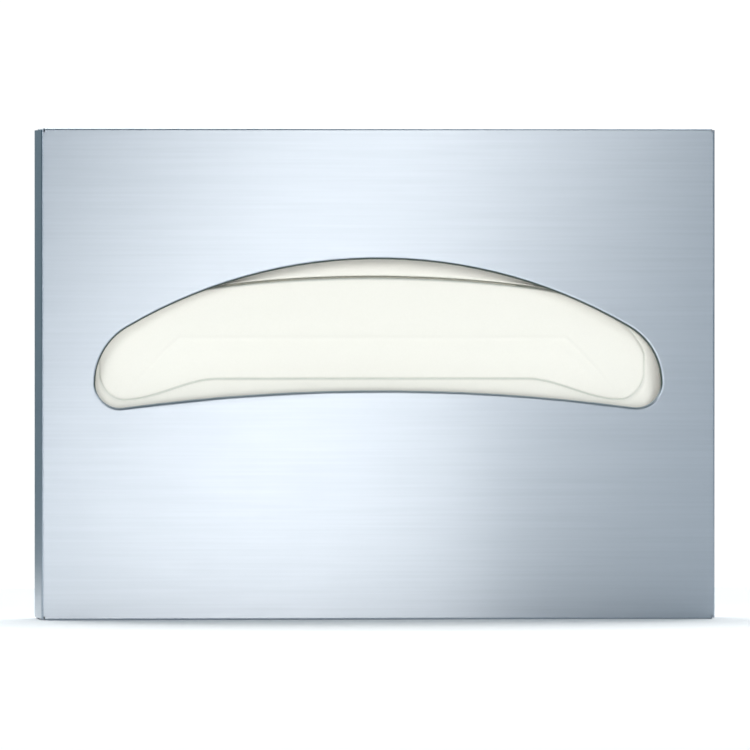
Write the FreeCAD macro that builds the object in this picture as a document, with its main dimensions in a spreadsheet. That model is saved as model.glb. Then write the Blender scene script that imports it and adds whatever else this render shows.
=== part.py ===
import FreeCAD, Part
import math
import os
import Sketcher
from FreeCAD import Vector

# Toilet seat cover dispenser, folded from stainless sheet, to be screwed to a wall.
# Frame: +X to the right, +Y towards the wall, +Z up. The origin is the middle of the wall face.
# Depths are distances behind the front face, and heights on the face are measured from its middle.

# Driving sizes, in millimetres
SIZES = {
    # The folded body
    "body_width": 400.0,
    "body_height": 290.5,
    "body_depth": 57.0,
    "sheet_gauge": 0.8,
    "bend_radius": 1.2,
    "relief_height": 2.4,
    "ledge_depth": 26.0,
    "hem_length": 8.0,
    "tab_height": 12.0,
    "tab_setback": 4.0,
    # The dispensing opening. Its apex lies a little below the top of the covers.
    "opening_side_margin": 32.0,
    "opening_below_cover_top": 2.65,
    "opening_arch_radius": 295.0,
    "opening_shoulder_radius": 38.0,
    "opening_corner_radius": 14.5,
    "opening_sill_radius": 1143.0,
    "lip_depth": 4.0,
    "lip_roll": 2.0,
    # The back plate and its screw slots
    "flange_depth": 12.0,
    "slot_spacing_x": 260.0,
    "slot_spacing_z": 32.0,
    "slot_height_above_middle": 14.0,
    "slot_length": 12.0,
    "slot_width": 5.4,
    # The paper
    "cover_side_room": 19.0,
    "cover_height": 215.0,
    "cover_corner_radius": 28.0,
    "fold_radius": 3.0,
    "stack_thickness": 14.0,
    "front_cover_thickness": 1.2,
    "cover_depth_behind_face": 12.5,
    "paper_clearance": 0.05,
    # The bulge of the front cover. Its insets are measured from the opening's ends.
    "bulge_end_inset": 6.0,
    "bulge_lobe_inset": 21.0,
    "bulge_ridge_inset": 53.0,
    "bulge_crease_inset": 76.0,
    "bulge_height": 8.0,
    "bulge_top_below_arch": 11.2,
    "bulge_top_radius": 750.0,
    "bulge_ridge_below_arch": 46.8,
    "bulge_crease_above_sill": 6.9,
    "bulge_lobe_above_sill": 4.0,
    "bulge_end_above_shoulder": 11.3,
    "bulge_tuck": 22.0,
    "bulge_sill_overlap": 1.0,
}

# The bulge's section from the sill to its top edge: each station's rise as a share of the
# bulge's height
RISE_SHARES = {
    "sill": 0.55,
    "strip": 0.42,
    "crease": 0.10,
    "foot": 0.52,
    "belly": 0.86,
    "ridge": 1.0,
    "upper_belly": 0.92,
    "brow": 0.66,
    "top_edge": 0.28,
}
# Places of the stations between two others, as shares of the way up
STRIP_SHARE = 0.5
FOOT_SHARE = 0.2
BELLY_SHARE = 0.6
UPPER_BELLY_SHARE = 0.35
BROW_SHARE = 0.7
# The bulge is this much lower at its lobes than along its ridge
LOBE_DROP_SHARE = 0.35
# The arch of the top edge starts to fall to the ends at this share of the ridge's half length
ARCH_FALL_SHARE = 0.8
# Two places nearer than this are the same, in millimetres
SAME_PLACE = 1e-3
# The ends stay this far short of a point
END_ROUND_SHARE = 0.98


class Length:
    """A length that knows its number and the sheet formula that gives the same number."""

    def __init__(self, value, formula):
        self.value = value
        self.formula = formula

    def __add__(self, other):
        return Length(self.value + other.value, f"({self.formula} + {other.formula})")

    def __sub__(self, other):
        return Length(self.value - other.value, f"({self.formula} - {other.formula})")

    def __mul__(self, factor):
        return Length(self.value * factor, f"({self.formula} * {factor})")

    def __truediv__(self, divisor):
        return Length(self.value / divisor, f"({self.formula} / {divisor})")

    def __neg__(self):
        return Length(-self.value, f"(0 - {self.formula})")


def size(alias):
    return Length(SIZES[alias], f"Sizes.{alias}")


ZERO = Length(0.0, "0")


def fill_sheet(doc):
    sheet = doc.addObject("Spreadsheet::Sheet", "Sizes")
    for row, (alias, value) in enumerate(SIZES.items(), start=1):
        sheet.set(f"A{row}", alias)
        sheet.set(f"B{row}", str(value))
        sheet.setAlias(f"B{row}", alias)
    doc.recompute()


# Sketches and features

def new_body(doc, label):
    body = doc.addObject("PartDesign::Body", f"{label}_body")
    body.Label = label
    return body


def new_sketch(body, role, name, offset=ZERO):
    """A sketch on one of the body's own origin planes, set off along the plane's normal."""
    plane = next(item for item in body.Origin.OriginFeatures if item.Role == role)
    sketch = body.newObject("Sketcher::SketchObject", name)
    sketch.AttachmentSupport = [(plane, "")]
    sketch.MapMode = "FlatFace"
    sketch.setExpression("AttachmentOffset.Base.z", offset.formula)
    return sketch


def hold(sketch, kind, places, length):
    """Add one dimension to the sketch and tie it to the sheet."""
    index = sketch.addConstraint(Sketcher.Constraint(kind, *places, length.value))
    sketch.setExpression(f"Constraints[{index}]", length.formula)


def hold_point(sketch, edge, end, x, y):
    hold(sketch, "DistanceX", (-1, 1, edge, end), x)
    hold(sketch, "DistanceY", (-1, 1, edge, end), y)


def arc_between(start, end, radius, turn):
    """The arc of under half a turn from start to end: turn is 1 anticlockwise and -1 clockwise."""
    chord = end - start
    rise = math.sqrt(max(radius ** 2 - (chord.Length / 2) ** 2, 0.0))
    normal = Vector(-chord.y, chord.x, 0).normalize()
    centre = (start + end) / 2 + normal * rise * turn
    first, last = (start, end) if turn > 0 else (end, start)
    begin = math.atan2(first.y - centre.y, first.x - centre.x)
    finish = math.atan2(last.y - centre.y, last.x - centre.x)
    if finish <= begin:
        finish += 2 * math.pi
    circle = Part.Circle(centre, Vector(0, 0, 1), radius)
    return Part.ArcOfCircle(circle, begin, finish)


def closed_outline(sketch, corners):
    """Draw a closed outline. A corner is (x, y), or (x, y, radius, turn) where an arc leads to it."""
    points = [Vector(corner[0].value, corner[1].value, 0) for corner in corners]
    ends = []
    for index, corner in enumerate(corners):
        start, end = points[index - 1], points[index]
        if len(corner) == 2:
            edge = sketch.addGeometry(Part.LineSegment(start, end), False)
            ends.append((edge, 1, 2))
        else:
            radius, turn = corner[2], corner[3]
            edge = sketch.addGeometry(arc_between(start, end, radius.value, turn), False)
            ends.append((edge, 1, 2) if turn > 0 else (edge, 2, 1))
            hold(sketch, "Radius", (edge,), radius)
    for index, corner in enumerate(corners):
        edge, _, last = ends[index]
        following, first, _ = ends[(index + 1) % len(ends)]
        sketch.addConstraint(Sketcher.Constraint("Coincident", edge, last, following, first))
        hold_point(sketch, edge, last, corner[0], corner[1])
    return sketch


def pad(body, sketch, length, middle=False, backwards=False):
    feature = body.newObject("PartDesign::Pad", f"{sketch.Name}_pad")
    feature.Profile = sketch
    feature.setExpression("Length", length.formula)
    feature.Midplane = middle
    feature.Reversed = backwards
    body.Tip = feature
    return feature


def pocket(body, sketch, length, middle=False, backwards=False):
    feature = body.newObject("PartDesign::Pocket", f"{sketch.Name}_pocket")
    feature.Profile = sketch
    feature.setExpression("Length", length.formula)
    feature.Midplane = middle
    feature.Reversed = backwards
    body.Tip = feature
    return feature


def fillet(body, name, radius, wanted):
    """Round the edges of the body that the test picks."""
    body.Document.recompute()
    base = body.Tip
    names = [f"Edge{i}" for i, edge in enumerate(base.Shape.Edges, start=1) if wanted(edge)]
    feature = body.newObject("PartDesign::Fillet", name)
    feature.Base = (base, names)
    feature.setExpression("Radius", radius.formula)
    body.Tip = feature
    return feature


# The opening's outline

def seat_level():
    """Height of the ledge's inner face, on which the paper stands."""
    return size("sheet_gauge") + size("paper_clearance") - size("body_height") / 2


def opening_half_width():
    return size("body_width") / 2 - size("opening_side_margin")


def opening_top():
    return seat_level() + size("cover_height") - size("opening_below_cover_top")


def shoulder_level():
    """Height of the shoulder's centre, where the shoulder arc runs smoothly into the arch."""
    arch = SIZES["opening_arch_radius"]
    shoulder = SIZES["opening_shoulder_radius"]
    centre_x = opening_half_width().value - shoulder
    return opening_top().value - arch + math.sqrt((arch - shoulder) ** 2 - centre_x ** 2)


def sill_centre_level():
    """Height of the sill arc's centre. The sill bulges up and runs smoothly into both corners."""
    corner = SIZES["opening_corner_radius"]
    reach = SIZES["opening_sill_radius"] + corner
    return shoulder_level() - math.sqrt(reach ** 2 - (opening_half_width().value - corner) ** 2)


def edge_height(x):
    """Height of the opening's lower edge at a distance x from the middle."""
    return sill_centre_level() + math.sqrt(SIZES["opening_sill_radius"] ** 2 - x ** 2)


def opening_outline(sketch, grow):
    """Six smooth arcs: the arch, two shoulders, two corners and the sill, grown outwards."""
    half = opening_half_width().value + grow.value
    arch = SIZES["opening_arch_radius"] + grow.value
    shoulder = SIZES["opening_shoulder_radius"] + grow.value
    corner = SIZES["opening_corner_radius"] + grow.value
    sill = SIZES["opening_sill_radius"] - grow.value
    level = shoulder_level()
    arch_centre = Vector(0, opening_top().value - SIZES["opening_arch_radius"], 0)
    sill_centre = Vector(0, sill_centre_level(), 0)

    def joint(centre, radius, other):
        return centre + (other - centre).normalize() * radius

    edges = {}
    for side in (1, -1):
        shoulder_centre = Vector(side * (half - shoulder), level, 0)
        corner_centre = Vector(side * (half - corner), level, 0)
        top_joint = joint(arch_centre, arch, shoulder_centre)
        waist = Vector(side * half, level, 0)
        low_joint = joint(sill_centre, sill, corner_centre)
        edges[side] = (top_joint, waist, low_joint)
    arcs = [
        arc_between(edges[1][0], edges[-1][0], arch, 1),
        arc_between(edges[-1][0], edges[-1][1], shoulder, 1),
        arc_between(edges[-1][1], edges[-1][2], corner, 1),
        arc_between(edges[1][2], edges[-1][2], sill, 1),
        arc_between(edges[1][2], edges[1][1], corner, 1),
        arc_between(edges[1][1], edges[1][0], shoulder, 1),
    ]
    top, left_shoulder, left_corner, bottom, right_corner, right_shoulder = (
        sketch.addGeometry(arc, False) for arc in arcs)
    tangent = [
        (top, 2, left_shoulder, 1), (left_corner, 2, bottom, 2),
        (bottom, 1, right_corner, 1), (right_shoulder, 2, top, 1),
    ]
    for places in tangent:
        sketch.addConstraint(Sketcher.Constraint("Tangent", *places))
    sketch.addConstraint(Sketcher.Constraint("Coincident", left_shoulder, 2, left_corner, 1))
    sketch.addConstraint(Sketcher.Constraint("Coincident", right_corner, 2, right_shoulder, 1))
    hold(sketch, "Radius", (top,), size("opening_arch_radius") + grow)
    for edge in (left_shoulder, right_shoulder):
        hold(sketch, "Radius", (edge,), size("opening_shoulder_radius") + grow)
    for edge in (left_corner, right_corner):
        hold(sketch, "Radius", (edge,), size("opening_corner_radius") + grow)
    sketch.addConstraint(Sketcher.Constraint("PointOnObject", top, 3, -2))
    hold(sketch, "DistanceY", (-1, 1, top, 3), opening_top() - size("opening_arch_radius"))
    hold(sketch, "DistanceX", (-1, 1, right_shoulder, 1), opening_half_width() + grow)
    hold(sketch, "DistanceX", (-1, 1, left_shoulder, 2), -(opening_half_width() + grow))
    for shoulder_arc, corner_arc, end in ((right_shoulder, right_corner, 1), (left_shoulder, left_corner, 2)):
        sketch.addConstraint(Sketcher.Constraint("Horizontal", shoulder_arc, 3, shoulder_arc, end))
        sketch.addConstraint(Sketcher.Constraint("Horizontal", corner_arc, 3, shoulder_arc, end))
    hold(sketch, "Radius", (bottom,), size("opening_sill_radius") - grow)
    return sketch


# The folded front shell

def wrap_profile(sketch, half_width, depth, gauge, bend):
    """Plan of the face with its two side walls, folded at two bends."""
    inner = bend - gauge
    wall = half_width - gauge
    return closed_outline(sketch, [
        (-half_width, ZERO),
        (-half_width, bend - depth),
        (bend - half_width, -depth, bend, 1),
        (half_width - bend, -depth),
        (half_width, bend - depth, bend, 1),
        (half_width, ZERO),
        (wall, ZERO),
        (wall, bend - depth),
        (half_width - bend, gauge - depth, inner, -1),
        (bend - half_width, gauge - depth),
        (-wall, bend - depth, inner, -1),
        (-wall, ZERO),
    ])


def side_wall_profile(sketch, side, half_width, depth, gauge, bend):
    """Plan of one side wall and its bend, on its own."""
    turn = -side
    edge, wall = half_width * side, (half_width - gauge) * side
    corner = (half_width - bend) * side
    return closed_outline(sketch, [
        (edge, ZERO),
        (edge, bend - depth),
        (corner, -depth, bend, turn),
        (corner, gauge - depth),
        (wall, bend - depth, bend - gauge, -turn),
        (wall, ZERO),
    ])


def top_wall_profile(sketch, half_height, depth, gauge, bend):
    """Section of the top wall, from the bend at the face to the wall behind."""
    return closed_outline(sketch, [
        (-depth, half_height - bend),
        (bend - depth, half_height, bend, -1),
        (ZERO, half_height),
        (ZERO, half_height - gauge),
        (bend - depth, half_height - gauge),
        (gauge - depth, half_height - bend, bend - gauge, 1),
    ])


def ledge_profile(sketch, half_height, depth, gauge, bend):
    """Section of the bottom ledge: the bend at the face, the ledge and its folded-back hem."""
    nose = size("ledge_depth") - depth - gauge
    hem_end = size("ledge_depth") - depth - size("hem_length")
    return closed_outline(sketch, [
        (gauge - depth, bend - half_height),
        (bend - depth, gauge - half_height, bend - gauge, 1),
        (hem_end, gauge - half_height),
        (hem_end, gauge * 2 - half_height),
        (nose, gauge * 2 - half_height),
        (nose + gauge, gauge - half_height, gauge, -1),
        (nose, -half_height, gauge, -1),
        (bend - depth, -half_height),
        (-depth, bend - half_height, bend, -1),
    ])


def tab_profile(sketch, side, level, up, half_width, gauge, bend):
    """Section of an end tab, folded from a wall's end to lie inside the side wall."""
    face = (half_width - gauge) * side
    inside = (half_width - gauge * 2) * side
    root = (half_width - gauge - bend) * side
    turn = side * up
    tip = level + size("tab_height") * up
    return closed_outline(sketch, [
        (root, level),
        (face, level + bend * up, bend, turn),
        (face, tip),
        (inside, tip),
        (inside, level + bend * up),
        (root, level + gauge * up, bend - gauge, -turn),
    ])


def build_front_shell(doc):
    width, height, depth = size("body_width"), size("body_height"), size("body_depth")
    gauge, bend = size("sheet_gauge"), size("bend_radius")
    half_width, half_height = width / 2, height / 2
    body = new_body(doc, "front_shell")

    wrap = wrap_profile(new_sketch(body, "XY_Plane", "wrap"), half_width, depth, gauge, bend)
    pad(body, wrap, height - bend * 2, middle=True)
    for side, name in ((1, "right_wall"), (-1, "left_wall")):
        wall = new_sketch(body, "XY_Plane", name)
        side_wall_profile(wall, side, half_width, depth, gauge, bend)
        pad(body, wall, height - gauge * 2, middle=True)

    flat_length = width - (gauge + bend) * 2
    top = top_wall_profile(new_sketch(body, "YZ_Plane", "top_wall"), half_height, depth, gauge, bend)
    pad(body, top, flat_length, middle=True)
    ledge = ledge_profile(new_sketch(body, "YZ_Plane", "ledge"), half_height, depth, gauge, bend)
    pad(body, ledge, flat_length, middle=True)

    setback = size("tab_setback")
    top_tab_end = size("flange_depth") + setback
    ledge_tab_end = depth - size("ledge_depth") + size("hem_length")
    for side, word in ((1, "right"), (-1, "left")):
        top_tab = new_sketch(body, "XZ_Plane", f"{word}_top_tab", top_tab_end)
        tab_profile(top_tab, side, half_height, -1, half_width, gauge, bend)
        pad(body, top_tab, depth - setback - top_tab_end)
        ledge_tab = new_sketch(body, "XZ_Plane", f"{word}_ledge_tab", ledge_tab_end)
        tab_profile(ledge_tab, side, -half_height, 1, half_width, gauge, bend)
        pad(body, ledge_tab, depth - setback - ledge_tab_end)

    reliefs = new_sketch(body, "XZ_Plane", "corner_reliefs", depth)
    for side in (1, -1):
        for up in (1, -1):
            outer, inner = (half_width - bend) * side, (half_width - gauge - bend) * side
            tip, root = half_height * up, (half_height - size("relief_height")) * up
            closed_outline(reliefs, [(outer, root), (outer, tip), (inner, tip), (inner, root)])
    pocket(body, reliefs, bend)

    lip = opening_outline(new_sketch(body, "XZ_Plane", "lip_outside", depth), gauge)
    pad(body, lip, size("lip_depth"), backwards=True)
    opening = opening_outline(new_sketch(body, "XZ_Plane", "opening", depth), ZERO)
    pocket(body, opening, size("lip_depth"))

    reach = opening_half_width().value + SIZES["lip_roll"]

    def round_opening(edge, behind_face):
        box = edge.BoundBox
        level = behind_face - SIZES["body_depth"]
        flat = abs(box.YMin - level) < SAME_PLACE and abs(box.YMax - level) < SAME_PLACE
        return flat and isinstance(edge.Curve, Part.Circle) and max(-box.XMin, box.XMax) < reach \
            and edge.Length > SIZES["bend_radius"] * 5

    fillet(body, "lip_front", size("lip_roll"), lambda edge: round_opening(edge, 0.0))
    fillet(body, "lip_behind", size("lip_roll") - gauge,
           lambda edge: round_opening(edge, SIZES["sheet_gauge"]))
    return body


# The back plate

def plate_profile(sketch, half_width, gauge, bend):
    """Plan of the back plate with its two side flanges, which lie inside the side walls."""
    reach = -size("flange_depth")
    inner = bend - gauge
    return closed_outline(sketch, [
        (-half_width, reach),
        (gauge - half_width, reach),
        (gauge - half_width, -bend),
        (bend - half_width, -gauge, inner, -1),
        (half_width - bend, -gauge),
        (half_width - gauge, -bend, inner, -1),
        (half_width - gauge, reach),
        (half_width, reach),
        (half_width, -bend),
        (half_width - bend, ZERO, bend, 1),
        (bend - half_width, ZERO),
        (-half_width, -bend, bend, 1),
    ])


def build_back_plate(doc):
    gauge, bend = size("sheet_gauge"), size("bend_radius")
    half_width = size("body_width") / 2 - gauge
    half_height = size("body_height") / 2
    top = half_height - gauge
    body = new_body(doc, "back_plate")
    plan = plate_profile(new_sketch(body, "XY_Plane", "plate", -half_height), half_width, gauge, bend)
    pad(body, plan, top - bend + half_height)

    flange = new_sketch(body, "YZ_Plane", "top_flange")
    closed_outline(flange, [
        (ZERO, top - bend),
        (-bend, top, bend, 1),
        (-size("flange_depth"), top),
        (-size("flange_depth"), top - gauge),
        (-bend, top - gauge),
        (-gauge, top - bend, bend - gauge, -1),
    ])
    pad(body, flange, (half_width - bend) * 2, middle=True)

    slots = new_sketch(body, "XZ_Plane", "screw_slots")
    reach, half = (size("slot_length") - size("slot_width")) / 2, size("slot_width") / 2
    for side in (1, -1):
        for up in (1, -1):
            x = size("slot_spacing_x") / 2 * side
            z = size("slot_height_above_middle") + size("slot_spacing_z") / 2 * up
            closed_outline(slots, [
                (x + reach, z - half),
                (x + reach + half, z, half, 1),
                (x + reach, z + half, half, 1),
                (x - reach, z + half),
                (x - reach - half, z, half, 1),
                (x - reach, z - half, half, 1),
            ])
    pocket(body, slots, gauge, backwards=True)
    return body


# The paper

def paper_outline(sketch, bottom):
    """A half-folded cover seen from the front: square at its fold, rounded at its loose corners."""
    half, radius = size("body_width") / 2 - size("cover_side_room"), size("cover_corner_radius")
    top = bottom + size("cover_height")
    return closed_outline(sketch, [
        (half, bottom),
        (half, top - radius),
        (half - radius, top, radius, 1),
        (radius - half, top),
        (-half, top - radius, radius, 1),
        (-half, bottom),
    ])


def build_cover_stack(doc):
    """The stack stands on the ledge's hem, with its folds rounded."""
    bottom = seat_level() + size("sheet_gauge")
    rear = size("body_depth") - size("cover_depth_behind_face") - size("front_cover_thickness") \
        - size("paper_clearance") - size("stack_thickness")
    body = new_body(doc, "cover_stack")
    sketch = paper_outline(new_sketch(body, "XZ_Plane", "stack_outline", rear), bottom)
    pad(body, sketch, size("stack_thickness"))
    fillet(body, "rounded_folds", size("fold_radius"),
           lambda edge: edge.BoundBox.ZMax < bottom.value + SAME_PLACE
           and edge.BoundBox.XLength > SIZES["stack_thickness"])
    return body


def share_of(value, start, end):
    """How far value has come from start to end, held between 0 and 1."""
    return min(max((value - start) / (end - start), 0.0), 1.0)


def between(low, high, share):
    return low + (high - low) * share


def from_middle(inset):
    """The distance from the middle of a place that is set in from the opening's end."""
    return opening_half_width().value - SIZES[inset]


def bulge_levels(far):
    """Heights of the sill, crease, ridge and top edge of the bulge, at a distance from its middle."""
    reach, lobe = from_middle("bulge_end_inset"), from_middle("bulge_lobe_inset")
    ridge_end = from_middle("bulge_ridge_inset")
    end_level = shoulder_level() + SIZES["bulge_end_above_shoulder"]
    roundness = math.sqrt(1 - (END_ROUND_SHARE * share_of(far, lobe, reach)) ** 2)

    widest = from_middle("opening_corner_radius")
    sill = edge_height(min(far, widest)) - SIZES["bulge_sill_overlap"]
    sill = between(end_level, sill, roundness)

    fall = share_of(far, from_middle("bulge_crease_inset"), lobe)
    fall = fall * fall * (3 - 2 * fall)
    middle_crease = edge_height(0) + SIZES["bulge_crease_above_sill"]
    lobe_crease = edge_height(lobe) + SIZES["bulge_lobe_above_sill"]
    crease = between(end_level, between(middle_crease, lobe_crease, fall), roundness)

    middle_ridge = opening_top().value - SIZES["bulge_ridge_below_arch"]
    lobe_ridge = crease + SIZES["bulge_height"] * LOBE_DROP_SHARE
    ridge = between(middle_ridge, lobe_ridge, share_of(far, ridge_end, lobe))

    arch = opening_top().value - SIZES["bulge_top_below_arch"] - far ** 2 / (2 * SIZES["bulge_top_radius"])
    shoulder = END_ROUND_SHARE * share_of(far, ridge_end * ARCH_FALL_SHARE, reach)
    top = between(end_level, arch, math.sqrt(1 - shoulder ** 3))
    return sill, crease, ridge, top


def bulge_section(across):
    """Points up the front leaf, where across runs from -1 at its left end to 1 at its right."""
    reach, lobe = from_middle("bulge_end_inset"), from_middle("bulge_lobe_inset")
    x = reach * across
    far = abs(x)
    sill, crease, ridge, top = bulge_levels(far)
    height = SIZES["bulge_height"] * (1 - share_of(far, lobe, reach) ** 2)
    height *= 1 - LOBE_DROP_SHARE * share_of(far, from_middle("bulge_ridge_inset"), lobe)
    levels = {
        "sill": sill,
        "strip": between(sill, crease, STRIP_SHARE),
        "crease": crease,
        "foot": between(crease, ridge, FOOT_SHARE),
        "belly": between(crease, ridge, BELLY_SHARE),
        "ridge": ridge,
        "upper_belly": between(ridge, top, UPPER_BELLY_SHARE),
        "brow": between(ridge, top, BROW_SHARE),
        "top_edge": top,
    }
    plane = SIZES["cover_depth_behind_face"] - SIZES["body_depth"]
    return [Vector(x, plane - height * RISE_SHARES[station], level)
            for station, level in levels.items()]


BULGE_SECTIONS = 41


def smooth_curve(points, degree=3):
    """A smooth curve that follows the points and ends on the outer two."""
    spans = len(points) - degree
    counts = [degree + 1] + [1] * (spans - 1) + [degree + 1]
    knots = [float(knot) for knot in range(spans + 1)]
    curve = Part.BSplineCurve()
    curve.buildFromPolesMultsKnots(points, counts, knots, False, degree)
    return curve.toShape()


def bulge_wire(across):
    """The leaf's section, closed by a base a little sunk in the cover and a slope below the sill."""
    leaf = bulge_section(across)
    base = SIZES["cover_depth_behind_face"] - SIZES["body_depth"] + SIZES["front_cover_thickness"] / 2
    sill, top_edge = leaf[0], leaf[-1]
    upper = Vector(top_edge.x, base, top_edge.z)
    lower = Vector(sill.x, base, sill.z - SIZES["bulge_tuck"])
    closing = [(top_edge, upper), (upper, lower), (lower, sill)]
    return Part.Wire([smooth_curve(leaf)] + [Part.LineSegment(*ends).toShape() for ends in closing])


def bulge_solid():
    """The bulged leaf, lofted through sections that lie closer together towards its ends."""
    quarter = math.pi / 2
    turns = [quarter * (2 * index / (BULGE_SECTIONS - 1) - 1) for index in range(BULGE_SECTIONS)]
    return Part.makeLoft([bulge_wire(math.sin(turn)) for turn in turns], True, True)


def build_front_cover(doc):
    body = new_body(doc, "flat_cover")
    rear = size("body_depth") - size("cover_depth_behind_face") - size("front_cover_thickness")
    sketch = paper_outline(new_sketch(body, "XZ_Plane", "cover_outline", rear), seat_level())
    pad(body, sketch, size("front_cover_thickness"))
    bulge = doc.addObject("Part::Feature", "bulge")
    bulge.Shape = bulge_solid()
    cover = doc.addObject("Part::Fuse", "front_cover_fuse")
    cover.Base = body
    cover.Tool = bulge
    cover.Label = "front_cover"
    return cover


def check(doc, pieces):
    for item in doc.Objects:
        if "Invalid" in item.State or "Error" in item.State:
            raise RuntimeError(f"{item.Label} failed: {item.State}")
    for piece in pieces:
        if piece.Shape.isNull() or not piece.Shape.isValid():
            raise RuntimeError(f"{piece.Label} has no valid shape")


def main():
    doc = FreeCAD.newDocument("SeatCoverDispenser")
    fill_sheet(doc)
    pieces = [build_front_shell(doc), build_back_plate(doc), build_cover_stack(doc), build_front_cover(doc)]
    doc.recompute()
    check(doc, pieces)
    os.makedirs("parts", exist_ok=True)
    for piece in pieces:
        piece.Shape.exportStep(f"parts/{piece.Label}.step")
        print(piece.Label, len(piece.Shape.Solids), round(piece.Shape.Volume, 1), piece.Shape.BoundBox)


main()
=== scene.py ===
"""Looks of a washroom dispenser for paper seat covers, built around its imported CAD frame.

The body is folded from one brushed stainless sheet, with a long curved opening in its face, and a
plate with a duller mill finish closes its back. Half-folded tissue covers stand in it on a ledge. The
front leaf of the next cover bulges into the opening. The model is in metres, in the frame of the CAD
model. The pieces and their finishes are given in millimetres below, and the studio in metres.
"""

import logging
import math
from dataclasses import dataclass, field
from enum import Enum, unique

import bmesh
import bpy
import numpy as np
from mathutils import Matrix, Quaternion, Vector

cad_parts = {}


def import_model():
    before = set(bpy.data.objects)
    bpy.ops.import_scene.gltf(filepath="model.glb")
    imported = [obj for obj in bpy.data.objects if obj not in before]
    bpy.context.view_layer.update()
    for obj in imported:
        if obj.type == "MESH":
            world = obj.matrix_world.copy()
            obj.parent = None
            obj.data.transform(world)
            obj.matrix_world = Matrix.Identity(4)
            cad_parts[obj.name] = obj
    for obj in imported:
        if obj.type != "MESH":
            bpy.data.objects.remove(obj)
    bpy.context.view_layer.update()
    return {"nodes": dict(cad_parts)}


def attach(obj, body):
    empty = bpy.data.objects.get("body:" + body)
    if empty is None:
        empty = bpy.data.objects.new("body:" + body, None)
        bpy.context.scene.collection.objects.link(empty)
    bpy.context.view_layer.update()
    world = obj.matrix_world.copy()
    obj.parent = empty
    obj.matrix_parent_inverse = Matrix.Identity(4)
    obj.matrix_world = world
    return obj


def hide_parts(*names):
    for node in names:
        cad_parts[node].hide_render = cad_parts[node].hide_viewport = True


MM = 0.001
BODY = "root"
# Nearly all of a noise pattern's values lie between these two
NOISE_LOW, NOISE_HIGH = 0.3, 0.7

log = logging.getLogger("dispenser")


# Small helpers


def linear(hex_colour: str) -> tuple[float, float, float, float]:
    """Turns an sRGB hex colour into Blender's linear colour.

    Args:
        hex_colour: The colour as "#rrggbb".

    Returns:
        Red, green and blue in linear light, and an alpha of 1.
    """
    channels = [int(hex_colour[i:i + 2], 16) / 255 for i in (1, 3, 5)]
    red, green, blue = (c / 12.92 if c <= 0.04045 else ((c + 0.055) / 1.055) ** 2.4 for c in channels)
    return red, green, blue, 1.0


def add_node(
    tree: bpy.types.NodeTree, kind: str, links: dict[str | int, object] | None = None, **settings: object
) -> bpy.types.Node:
    """Adds a node to a tree, with its settings, values and links.

    Args:
        tree: The tree that gets the node.
        kind: The node's type name.
        links: For each input, the socket that feeds it or the value that it keeps.
        **settings: The node's own properties.

    Returns:
        The new node.
    """
    node = tree.nodes.new(kind)
    for key, value in settings.items():
        setattr(node, key, value)
    for place, source in (links or {}).items():
        if isinstance(source, bpy.types.NodeSocket):
            tree.links.new(source, node.inputs[place])
        else:
            node.inputs[place].default_value = source
    return node


def between(low: float, high: float, share: float) -> float:
    """Returns the value that lies a share of the way from low to high."""
    return low + (high - low) * share


def share_of(value: float, start: float, end: float) -> float:
    """Returns how far value has come from start to end, held between 0 and 1."""
    return min(max((value - start) / (end - start), 0.0), 1.0)


def smooth(share: float) -> float:
    """Returns a share eased in and out."""
    return share * share * (3 - 2 * share)


def link_mesh(name: str, mesh: bpy.types.Mesh, finish: bpy.types.Material) -> bpy.types.Object:
    """Makes a finished piece of a mesh, with one material.

    Args:
        name: The piece's name.
        mesh: Its mesh, in place.
        finish: The material of all its faces.

    Returns:
        The new object, at the origin.
    """
    piece = bpy.data.objects.new(name, mesh)
    bpy.context.scene.collection.objects.link(piece)
    mesh.materials.clear()
    mesh.materials.append(finish)
    return piece


def bake_modifiers(piece: bpy.types.Object) -> None:
    """Turns a piece with modifiers into a plain mesh.

    Args:
        piece: The object whose modifiers are applied and removed.
    """
    graph = bpy.context.evaluated_depsgraph_get()
    mesh = bpy.data.meshes.new_from_object(piece.evaluated_get(graph), depsgraph=graph)
    piece.modifiers.clear()
    piece.data = mesh


def report(piece: bpy.types.Object) -> None:
    """Logs a piece's name and how many faces it has."""
    log.info("%s: %d faces", piece.name, len(piece.data.polygons))


# Finishes


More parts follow.
